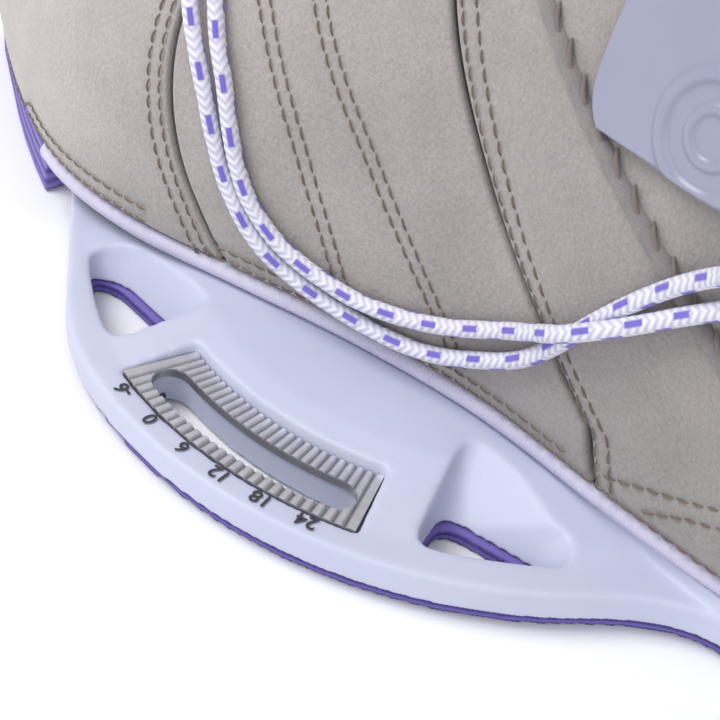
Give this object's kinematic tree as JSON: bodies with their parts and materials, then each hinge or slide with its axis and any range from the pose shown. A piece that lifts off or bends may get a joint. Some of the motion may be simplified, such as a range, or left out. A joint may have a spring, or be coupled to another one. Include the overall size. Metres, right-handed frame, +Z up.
{
  "type": "wakeboard boot on a mounting plate",
  "caption": "Lace-up wakeboard boot for a right foot on a round moulded mounting plate with toothed stance slots, a hinged tongue, a lace lock and a heel pull.",
  "frame": {"origin": "centre of the stance circle, on the underside of the pad, where the boot rests on the board", "axes": "+X from the toe to the heel, -Y towards the inner (medial) side of the foot, +Z up out of the board"},
  "size_m": [0.2983, 0.177, 0.2834],
  "materials": {
    "plate_plastic": "moulded nylon, fine satin grain",
    "purple_foam": "closed-cell foam",
    "footbed_foam": "moulded foam",
    "insert_alloy": "bright cast alloy with cut teeth",
    "steel": "stainless",
    "suede": "brushed nubuck, warm grey",
    "piping_fabric": "ribbed tape over a cord",
    "lace_cord": "braided cord with purple flecks",
    "badge_plastic": "moulded soft plastic",
    "liner_fabric": "knitted lining over foam",
    "tongue_fabric": "padded, suede-faced",
    "insole_board": "pressed fibre board",
    "webbing": "woven webbing",
    "lock_plastic": "moulded acetal",
    "button_plastic": "moulded acetal",
    "aglet_plastic": "clear sleeve"
  },
  "bodies": {
    "boot": {"base_plate": "plate_plastic", "base_pad": "purple_foam", "slot_insert_inner": "insert_alloy", "slot_insert_outer": "insert_alloy", "toe_outsole": "purple_foam", "heel_outsole": "purple_foam", "lasting_board": "insole_board", "footbed": "footbed_foam", "sole_nut_1": "steel", "sole_screw_1": "steel", "sole_nut_2": "steel", "sole_screw_2": "steel", "sole_nut_3": "steel", "sole_screw_3": "steel", "sole_nut_4": "steel", "sole_screw_4": "steel", "welt_piping": "piping_fabric", "toe_panel": "suede", "toe_liner": "liner_fabric", "ankle_liner": "liner_fabric", "collar": "liner_fabric", "inner_forefoot_panel": "suede", "inner_quarter": "suede", "inner_cuff": "suede", "inner_eyestay": "suede", "inner_badge": "badge_plastic", "inner_lace_loop_1": "webbing", "inner_lace_loop_2": "webbing", "inner_lace_loop_3": "webbing", "inner_lace_loop_4": "webbing", "inner_lace_loop_5": "webbing", "outer_forefoot_panel": "suede", "outer_quarter": "suede", "outer_cuff": "suede", "outer_eyestay": "suede", "outer_badge": "badge_plastic", "outer_lace_loop_1": "webbing", "outer_lace_loop_2": "webbing", "outer_lace_loop_3": "webbing", "outer_lace_loop_4": "webbing", "outer_lace_loop_5": "webbing", "boot_lace": "lace_cord", "first_free_lace_end": "lace_cord", "first_aglet": "aglet_plastic", "second_free_lace_end": "lace_cord", "second_aglet": "aglet_plastic"},
    "tongue": {"tongue": "tongue_fabric"},
    "lace_lock": {"lock_body": "lock_plastic", "lock_spring": "steel"},
    "lock_button": {"lock_button": "button_plastic"},
    "heel_pull": {"heel_pull": "webbing"}
  },
  "joints": [
    {"name": "tongue_open", "type": "hinge", "parent": "boot", "child": "tongue", "pos_m": [-0.0446, 0, 0.0875], "axis": [0, -1, 0], "range_deg": [0, 18], "deforming": ["boot_lace", "first_free_lace_end", "second_free_lace_end"]},
    {"name": "lock_slide", "type": "slide", "parent": "tongue", "child": "lace_lock", "axis": [0, 0, 1], "range_m": [0, 0.02]},
    {"name": "button_press", "type": "slide", "parent": "lace_lock", "child": "lock_button", "axis": [1, 0, 0], "range_m": [0, 0.0023], "stiffness_N_per_m": 600, "deforming": ["lock_spring"]},
    {"name": "heel_pull_swing", "type": "hinge", "parent": "boot", "child": "heel_pull", "pos_m": [0.1384, 0, 0.243], "axis": [0, -1, 0], "range_deg": [0, 75]}
  ]
}
